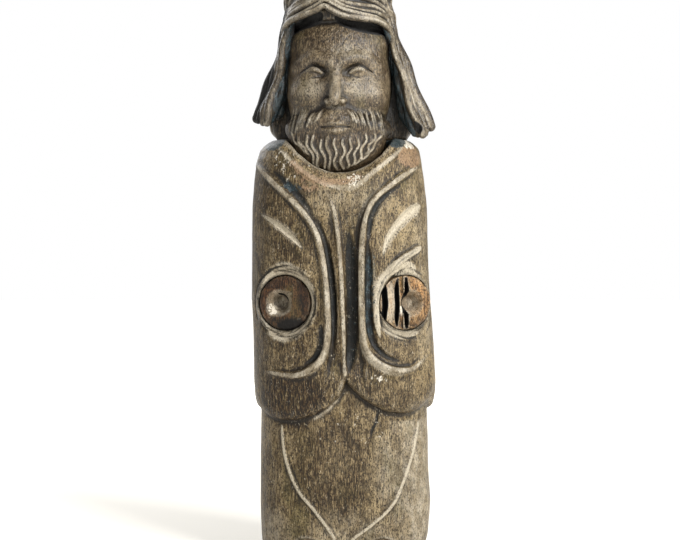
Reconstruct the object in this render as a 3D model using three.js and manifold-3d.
// A carved wooden devotional figure: a bearded, long-haired standing man in a heavy cloak.
// Nine glued and dowelled pieces, in millimetres. +Z is up, the figure faces -Y, and its own
// right side is at -X. The origin is on the floor, under the middle of the log.
import * as THREE from "three";
import { mergeVertices } from "three/addons/utils/BufferGeometryUtils.js";
import Module from "manifold-3d";

const wasm = await Module();
wasm.setup();

// ---------- Driving dimensions ----------
const HEIGHT = 294; // floor to crown
const NECK_Z = 206; // height of the glue line between body and head
const BODY_SQUARE = 2.5; // power of the superellipse that the log is carved to
const BODY_DEPTH = 0.72; // depth of the body over its width
const CROWN_DEPTH = 1; // depth of the hair over its width, at the crown
const HAIR_END_DEPTH = 0.8; // the same where the hair ends on the shoulders
const TEMPLE_Z = 262; // the hair is open in front below this height
const FACE_X = -1.5; // the face looks slightly to the figure's own right
const GLUE_GAP = 0.3; // left between every two pieces
const ROUND = 48; // sides of the large round shapes
const ON_AXIS = 1e-6; // nearer to the Z axis than this counts as on it
const WELD = 1e-4; // corners nearer together than this are one corner

const WRIST = {
  radius: 13.2,
  length: 16,
  sunk: 3, // how far the face lies below the cloak's surface
  height: 126.5, // of the centre, above the floor
  bevel: 0.8,
  flare: 4.4, // how much wider than the wrist the sleeve's mouth is
};
// The tapered socket for a hand's peg lies off the wrist's centre, on the figure's outer side.
const SOCKET = { mouth: 5.7, end: 3.4, depth: 7, offset: 2.6 };
const DOWEL = { radius: 3, length: 18, inWrist: 4.5 };
const NECK_DOWEL = { radius: 8, length: 36, back: 7 };
const FOOT = { halfWidth: 9, toe: -33.5, heel: -8, height: 13.8, splay: 0.1, arch: 1.6 };

// ---------- Outlines, each point [half width, height] ----------
const SKIRT = [
  [37.6, 0], [40, 3.5], [41.2, 12], [41.8, 28], [41.6, 58], [40.6, 92],
];
const CLOAK = [
  [37, 67.6], [41.6, 69], [44, 74], [45, 84], [44.5, 106], [44, 130], [43, 152], [42.6, 170],
  [42, 186], [41, 195], [39.2, 201], [36.4, 204.6], [32, NECK_Z],
];
const HAIR = [
  [30, NECK_Z + GLUE_GAP], [34.5, 207.5], [37, 212], [37, 222], [35.4, 235], [32.6, 247],
  [30.4, 258], [29, 267], [27, 276], [23.4, 283.6], [17, 289.8], [9, HEIGHT - 0.8], [4, HEIGHT],
];

// ---------- Helpers ----------
// A closed geometry as a manifold-3d solid.
function solid(geometry) {
  const bare = geometry.clone();
  bare.deleteAttribute("normal");
  bare.deleteAttribute("uv");
  const merged = mergeVertices(bare, WELD);
  return new wasm.Manifold(
    new wasm.Mesh({
      numProp: 3,
      vertProperties: new Float32Array(merged.attributes.position.array),
      triVerts: new Uint32Array(merged.index.array),
    }),
  );
}

// A manifold-3d solid as a geometry that three.js can draw.
function geometryOf(manifold) {
  const { numProp, vertProperties, triVerts } = manifold.getMesh();
  const count = vertProperties.length / numProp;
  const positions = new Float32Array(count * 3);
  for (let i = 0; i < count; i++) {
    positions.set(vertProperties.subarray(i * numProp, i * numProp + 3), i * 3);
  }
  const geometry = new THREE.BufferGeometry();
  geometry.setAttribute("position", new THREE.BufferAttribute(positions, 3));
  geometry.setIndex(new THREE.BufferAttribute(triVerts, 1));
  geometry.computeVertexNormals();
  return geometry;
}

// The half width of an outline at a height.
function widthAt(outline, z) {
  const next = outline.findIndex(([, height]) => height >= z);
  if (next <= 0) return outline[next < 0 ? outline.length - 1 : 0][0];
  const [[r0, z0], [r1, z1]] = [outline[next - 1], outline[next]];
  return r0 + ((r1 - r0) * (z - z0)) / (z1 - z0);
}

// An outline turned about Z, then pressed into a superellipse whose depth over width is depthAt(z).
function turned(outline, depthAt, square) {
  const low = outline[0][1];
  const high = outline.at(-1)[1];
  const profile = [[0, low], ...outline, [0, high]].map(([r, z]) => new THREE.Vector2(r, z));
  const geometry = new THREE.LatheGeometry(profile, ROUND).rotateX(Math.PI / 2);
  const position = geometry.attributes.position;
  for (let i = 0; i < position.count; i++) {
    const [x, y, z] = [position.getX(i), position.getY(i), position.getZ(i)];
    const r = Math.hypot(x, y);
    if (r < ON_AXIS) continue;
    const grow = (Math.abs(x / r) ** square + Math.abs(y / r) ** square) ** (-1 / square);
    position.setXY(i, x * grow, y * grow * depthAt(z));
  }
  return solid(geometry);
}

// A point on the front of the body at x and height z, moved out by lift.
function onFront(outline, x, z, lift = 0) {
  const a = widthAt(outline, z);
  const share = Math.min(Math.abs(x) / a, 0.995);
  const y = -BODY_DEPTH * a * (1 - share ** BODY_SQUARE) ** (1 / BODY_SQUARE);
  return new THREE.Vector3(x, y - lift, z);
}

function ellipsoid(centre, radii, sides = 32) {
  const ball = new THREE.SphereGeometry(1, sides, sides / 2);
  return solid(ball.rotateX(Math.PI / 2).scale(...radii).translate(...centre));
}

// A round bar of one thickness along a smooth path.
function bar(points, radius) {
  const section = new THREE.Shape().absarc(0, 0, radius, 0, Math.PI * 2);
  const extrudePath = new THREE.CatmullRomCurve3(points);
  const steps = points.length * 3;
  return solid(new THREE.ExtrudeGeometry(section, { extrudePath, steps, curveSegments: 4 }));
}

// A lock of hair: a blunt-ended round bar that swells and thins along a smooth path.
// Each station is [x, y, z, radius].
function lock(stations, sides = 12) {
  const path = new THREE.CatmullRomCurve3(stations.map(([x, y, z]) => new THREE.Vector3(x, y, z)));
  const girth = new THREE.CatmullRomCurve3(stations.map((s) => new THREE.Vector3(s[3], 0, 0)));
  const steps = stations.length * 4;
  const { normals, binormals } = path.computeFrenetFrames(steps);
  const geometry = new THREE.SphereGeometry(1, sides, steps);
  const position = geometry.attributes.position;
  const bluntness = 0.4;
  for (let i = 0; i < position.count; i++) {
    const [x, y, z] = [position.getX(i), position.getY(i), position.getZ(i)];
    const row = Math.round((Math.acos(THREE.MathUtils.clamp(y, -1, 1)) / Math.PI) * steps);
    const along = row / steps;
    const point = path.getPointAt(along);
    const flat = Math.hypot(x, z);
    if (flat > ON_AXIS) {
      const swell = girth.getPoint(path.getUtoTmapping(along)).x;
      const radius = (swell * Math.sin(Math.PI * along) ** bluntness) / flat;
      point.addScaledVector(normals[row], x * radius);
      point.addScaledVector(binormals[row], z * radius);
    }
    position.setXYZ(i, point.x, point.y, point.z);
  }
  return solid(geometry);
}

// A flat outline in the XZ plane, given thickness from y = near to y = far.
function slab(points, near, far) {
  const shape = new THREE.Shape(points.map(([x, z]) => new THREE.Vector2(x, z)));
  const block = new THREE.ExtrudeGeometry(shape, { depth: far - near, bevelEnabled: false });
  return solid(block.rotateX(Math.PI / 2).translate(0, far, 0));
}

// Everything above a height, inside a cube far wider than the figure.
function above(z) {
  const size = 400;
  return solid(new THREE.BoxGeometry(size, size, size).translate(0, 0, z + size / 2));
}

function joined(pieces) {
  return pieces.reduce((all, piece) => all.add(piece));
}

function material(color, roughness) {
  return new THREE.MeshStandardMaterial({ color, roughness, metalness: 0 });
}

// ---------- Materials ----------
const patinaWood = material(0x6b5d48, 0.55);
const faceWood = material(0x7d6d57, 0.5);
const darkWrist = material(0x412d20, 0.5);
const splitWrist = material(0x916c48, 0.6);
const shoeWood = material(0x7c664b, 0.6);
const dowelWood = material(0xb4966a, 0.7);

// ---------- Sides of the figure ----------
// wristTurn is how far the wrist's axis is swung outwards from straight ahead, about Z.
const RIGHT = { name: "right", wristX: -29, wristTurn: -0.28, wristWood: darkWrist, footX: -17 };
const LEFT = { name: "left", wristX: 31.4, wristTurn: 0.34, wristWood: splitWrist, footX: 18 };
const SIDES = [RIGHT, LEFT];

// ---------- Wrists ----------
// The frame of a wrist: origin at the middle of its face, +Z along its axis and out of the sleeve.
function wristMatrix({ wristX, wristTurn }) {
  const outward = new THREE.Vector3(Math.sin(wristTurn), -Math.cos(wristTurn), 0);
  const centre = onFront(CLOAK, wristX, WRIST.height).addScaledVector(outward, -WRIST.sunk);
  const rotation = new THREE.Euler(Math.PI / 2, 0, wristTurn, "ZYX");
  return new THREE.Matrix4().makeRotationFromEuler(rotation).setPosition(centre);
}

// A lathe about the wrist's own axis; each point is [radius, height above the face].
function wristLathe(points) {
  const profile = points.map(([r, h]) => new THREE.Vector2(r, h));
  return new THREE.LatheGeometry(profile, 32).rotateX(Math.PI / 2);
}

function wristStub({ wristTurn }) {
  const { radius, length, bevel } = WRIST;
  const { mouth, end, depth, offset } = SOCKET;
  const hole = DOWEL.radius + GLUE_GAP;
  const holeTop = DOWEL.inWrist + GLUE_GAP - length;
  const plug = wristLathe([
    [0, holeTop], [hole, holeTop], [hole, -length], [radius - bevel, -length],
    [radius, bevel - length], [radius, -bevel], [radius - bevel, 0], [0, 0],
  ]);
  // The cutter goes on past the face at the same taper.
  const past = 1;
  const wide = mouth + ((mouth - end) * past) / depth;
  const socket = wristLathe([[0, -depth], [end, -depth], [wide, past], [0, past]])
    .translate(Math.sign(wristTurn) * offset, 0, 0);
  return solid(plug).subtract(solid(socket));
}

function wristDowel() {
  const { radius, length, inWrist } = DOWEL;
  return new THREE.CylinderGeometry(radius, radius, length, 16)
    .rotateX(Math.PI / 2)
    .translate(0, 0, inWrist - WRIST.length - length / 2);
}

// What a sleeve loses to its wrist: the seat, the flared mouth, and the dowel's hole.
function sleeveCut(side) {
  const seat = WRIST.radius + GLUE_GAP;
  const floor = -WRIST.length - GLUE_GAP;
  const hole = DOWEL.radius + GLUE_GAP;
  const holeEnd = DOWEL.inWrist - WRIST.length - DOWEL.length - GLUE_GAP;
  const clear = 14; // well in front of the cloak
  const cut = wristLathe([
    [0, holeEnd], [hole, holeEnd], [hole, floor], [seat, floor], [seat, -1],
    [seat + WRIST.flare, WRIST.sunk + 1], [seat + WRIST.flare, clear], [0, clear],
  ]);
  return solid(cut.applyMatrix4(wristMatrix(side)));
}

// ---------- Feet: each a shoe with a round toe, let into the hem from below ----------
function shoe({ footX }, grow = 0) {
  const { halfWidth, toe, heel, height, splay } = FOOT;
  const radius = halfWidth + grow;
  const straight = heel - toe - 2 * halfWidth;
  const form = new THREE.CapsuleGeometry(radius, straight, 6, 20)
    .scale(1, 1, (height + grow) / radius)
    .rotateZ(Math.sign(footX) * splay)
    .translate(footX, (toe + heel) / 2, 0);
  return solid(form);
}

// The hem is arched over each shoe, which leaves a narrow shadow gap round the toe.
function hemArch({ footX }) {
  const { halfWidth, height, arch } = FOOT;
  return ellipsoid([footX, -34, 0], [halfWidth + arch, 9, height + arch], 24);
}

// ---------- Neck ----------
function neckDowel(grow = 0) {
  const { radius, length, back } = NECK_DOWEL;
  const form = new THREE.CylinderGeometry(radius + grow, radius + grow, length + 2 * grow, 24);
  return solid(form.rotateX(Math.PI / 2).translate(0, back, NECK_Z + GLUE_GAP / 2));
}

// The beard belongs to the head and hangs into a hollow in the chest.
function beard(grow = 0) {
  return ellipsoid([FACE_X, -20, 207], [23.5 + grow, 13.6 + grow, 18 + grow]);
}

// ---------- Body ----------
// The folds are lists of [x, height] on the front of the cloak or of the skirt.
const CLOAK_FOLDS = [
  [[-41, 195], [-28, 178], [-18, 168.5], [-12, 156.5], [-7, 125], [-8, 106], [-15, 96.5],
    [-24, 92.5], [-37, 93]],
  [[-8.5, 185], [-4, 171], [-1.4, 156.5], [0.5, 128], [1, 89]],
  [[36, 194], [20, 183], [10.5, 173], [8, 156.5], [9, 125], [11, 104.5], [20, 96], [27, 94.5],
    [40, 100.5]],
];
const NECKLINE = [[-31, 205], [-25, 195], [-13.5, 185], [1, 180.5], [15, 186], [25, 196], [31, 205]];
const SKIRT_FOLDS = [
  [[-29, 67], [-27, 51], [-22, 37], [-11, 23], [-4, 15]],
  [[38, 68], [33.5, 53], [28.5, 37], [22.5, 26], [13, 18.5], [4, 15]],
];
const ARM_CUTS = [
  [[-41, 170], [-30, 162.5], [-20.5, 153.5]],
  [[38.5, 174], [27.5, 164], [20.5, 149.5]],
];
// The cloak's front panels have round corners and part in a V; this is what lies below them.
const BELOW_HEM = [
  [-44, 62], [-44, 74], [-38, 70.6], [-28, 69.6], [-19, 72.4], [-9, 79.4], [1, 87.5], [11, 81.4],
  [20.5, 75.6], [30, 71.8], [39, 72.4], [44, 76], [44, 62],
];

function ridges(folds, outline, radius) {
  return joined(folds.map((fold) => bar(fold.map(([x, z]) => onFront(outline, x, z)), radius)));
}

function bodyBlock() {
  const depth = () => BODY_DEPTH;
  const cloak = turned(CLOAK, depth, BODY_SQUARE).subtract(slab(BELOW_HEM, -60, -8));
  const skirt = turned(SKIRT, depth, BODY_SQUARE);
  const neckHollow = ellipsoid([FACE_X, -38, 216], [29, 18, 33]);
  const proud = 0.6; // how far outside the cloak the axis of an arm cut runs
  const armCuts = ARM_CUTS.map((cut) => bar(cut.map(([x, z]) => onFront(CLOAK, x, z, proud)), 1.6));
  return joined([cloak, skirt, ridges(CLOAK_FOLDS, CLOAK, 1.7), ridges(SKIRT_FOLDS, SKIRT, 1.1)])
    .subtract(neckHollow)
    .add(ridges([NECKLINE], CLOAK, 1.5))
    .subtract(above(NECK_Z))
    .subtract(beard(1))
    .subtract(neckDowel(GLUE_GAP))
    .subtract(joined([...armCuts, ...SIDES.map(sleeveCut)]))
    .subtract(joined(SIDES.flatMap((side) => [shoe(side, GLUE_GAP), hemArch(side)])));
}

// ---------- Head ----------
const FRINGE = [
  [-28, -12, 254, 3.4], [-22.5, -23, 259.5, 3.8], [-11, -29.5, 262.5, 4], [-4, -30.5, 267, 3.8],
  [5, -30, 262.5, 4], [17.5, -25, 260, 4], [26.5, -12, 254, 3.4],
];
const RIGHT_LOCK = [
  [-22, -14, 270, 6], [-28.5, -13, 254, 7], [-33, -12, 238, 8.2], [-36, -11, 224, 9.4],
  [-36.5, -10, 214, 9],
];
const LEFT_LOCK = [
  [20, -14, 270, 6], [26.5, -13, 254, 7.4], [31.5, -12, 238, 8.8], [36, -11, 222, 10],
  [38, -10, 211, 9],
];

function face() {
  const skull = ellipsoid([FACE_X, -9, 233], [25.6, 22.5, 38]);
  const brow = lock([
    [FACE_X - 18.5, -23, 239, 1.8], [FACE_X - 9, -28.5, 241.5, 2.4], [FACE_X, -30, 240, 2.4],
    [FACE_X + 9, -28.5, 241.5, 2.4], [FACE_X + 18.5, -23, 239, 1.8],
  ]);
  // A straight nose, drawn from the side as [distance in front of the Z axis, height].
  const noseSide = [[26, 241], [31.2, 240], [37, 222.5], [35.4, 219.5], [26, 219]];
  const noseWidth = 8;
  const nose = new THREE.ExtrudeGeometry(
    new THREE.Shape(noseSide.map(([out, z]) => new THREE.Vector2(out, z))),
    { depth: noseWidth, bevelEnabled: false },
  )
    .translate(0, 0, -noseWidth / 2)
    .rotateX(Math.PI / 2)
    .rotateZ(-Math.PI / 2)
    .translate(FACE_X, 0, 0);
  const features = [-1, 1].flatMap((side) => [
    ellipsoid([FACE_X + side * 10, -27, 235.5], [5, 3, 3], 16),
    lock([
      [FACE_X + side * 2, -32.8, 216.6, 2.2], [FACE_X + side * 9, -31.6, 214, 2.6],
      [FACE_X + side * 16, -27, 207.5, 2],
    ], 8),
  ]);
  const lips = ellipsoid([FACE_X, -31.6, 211.6], [7, 2.6, 2.2], 16);
  return joined([skull, brow, solid(nose), lips, ...features]);
}

function headBlock() {
  const taper = (z) =>
    THREE.MathUtils.mapLinear(z, NECK_Z, HEIGHT - 20, HAIR_END_DEPTH, CROWN_DEPTH);
  const wide = 60;
  const opening = [[-wide, 200], [wide, 200], [wide, TEMPLE_Z], [-wide, TEMPLE_Z]];
  const hair = turned(HAIR, taper, 2.2).subtract(slab(opening, -wide, -5));
  return joined([hair, face(), lock(FRINGE), lock(RIGHT_LOCK, 20), lock(LEFT_LOCK, 20)])
    .intersect(above(NECK_Z + GLUE_GAP))
    .add(beard())
    .subtract(neckDowel(GLUE_GAP));
}

// ---------- Assembly ----------
const figure = new THREE.Group();

function place(name, geometry, wood, parent) {
  const mesh = new THREE.Mesh(geometry, wood);
  mesh.name = name;
  parent.add(mesh);
}

place("body_block", geometryOf(bodyBlock()), patinaWood, figure);
place("head_block", geometryOf(headBlock()), faceWood, figure);
place("neck_dowel", geometryOf(neckDowel()), dowelWood, figure);

for (const side of SIDES) {
  const sleeve = new THREE.Group();
  sleeve.applyMatrix4(wristMatrix(side));
  figure.add(sleeve);
  place(`${side.name}_wrist_stub`, geometryOf(wristStub(side)), side.wristWood, sleeve);
  place(`${side.name}_wrist_dowel`, geometryOf(solid(wristDowel())), dowelWood, sleeve);
  place(`${side.name}_foot`, geometryOf(shoe(side).intersect(above(0))), shoeWood, figure);
}

export default figure;
